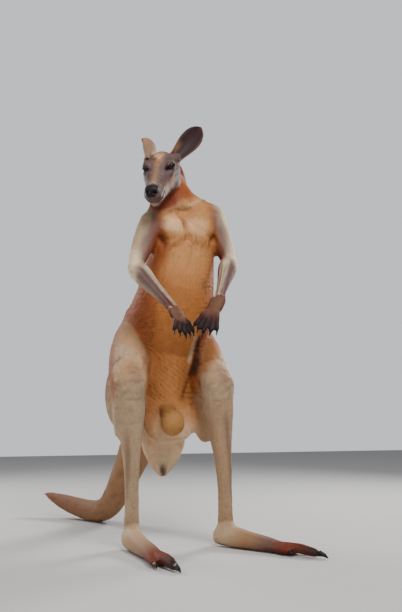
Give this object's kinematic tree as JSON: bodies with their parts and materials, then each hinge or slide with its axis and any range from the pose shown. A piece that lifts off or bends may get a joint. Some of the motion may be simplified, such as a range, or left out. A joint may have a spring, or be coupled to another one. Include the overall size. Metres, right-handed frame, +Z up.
{
  "type": "red kangaroo",
  "caption": "Adult male red kangaroo standing tall on its hind feet and tail, arms folded over its belly, as a still life-size model.",
  "frame": {"origin": "on the floor, under the middle of the whole model's box", "axes": "+Z up, -Y the way the animal's chest faces, +X to the animal's own left"},
  "size_m": [0.8302, 1.4198, 1.6676],
  "materials": {
    "rufous_coat": "short matt fur",
    "pale_coat": "short matt fur",
    "grey_face": "short matt fur",
    "dark_hands": "short matt fur",
    "claws": "polished horn",
    "eyes": "wet gloss"
  },
  "bodies": {
    "root": {"ear_left": "grey_face", "ear_right": "grey_face", "eye_left": "eyes", "eye_right": "eyes", "foot_left": "pale_coat", "foot_right": "pale_coat", "forearm_left": "pale_coat", "forearm_right": "pale_coat", "hand_claw_left_1": "claws", "hand_claw_left_2": "claws", "hand_claw_left_3": "claws", "hand_claw_left_4": "claws", "hand_claw_left_5": "claws", "hand_claw_right_1": "claws", "hand_claw_right_2": "claws", "hand_claw_right_3": "claws", "hand_claw_right_4": "claws", "hand_claw_right_5": "claws", "hand_left": "dark_hands", "hand_right": "dark_hands", "head": "grey_face", "neck": "rufous_coat", "scrotum": "rufous_coat", "shank_left": "pale_coat", "shank_right": "pale_coat", "tail_base": "pale_coat", "tail_middle": "pale_coat", "tail_tip": "pale_coat", "thigh_left": "pale_coat", "thigh_right": "pale_coat", "toe_claw_left_1": "claws", "toe_claw_left_2": "claws", "toe_claw_left_3": "claws", "toe_claw_left_4": "claws", "toe_claw_right_1": "claws", "toe_claw_right_2": "claws", "toe_claw_right_3": "claws", "toe_claw_right_4": "claws", "trunk": "rufous_coat", "upper_arm_left": "pale_coat", "upper_arm_right": "pale_coat"}
  },
  "joints": []
}
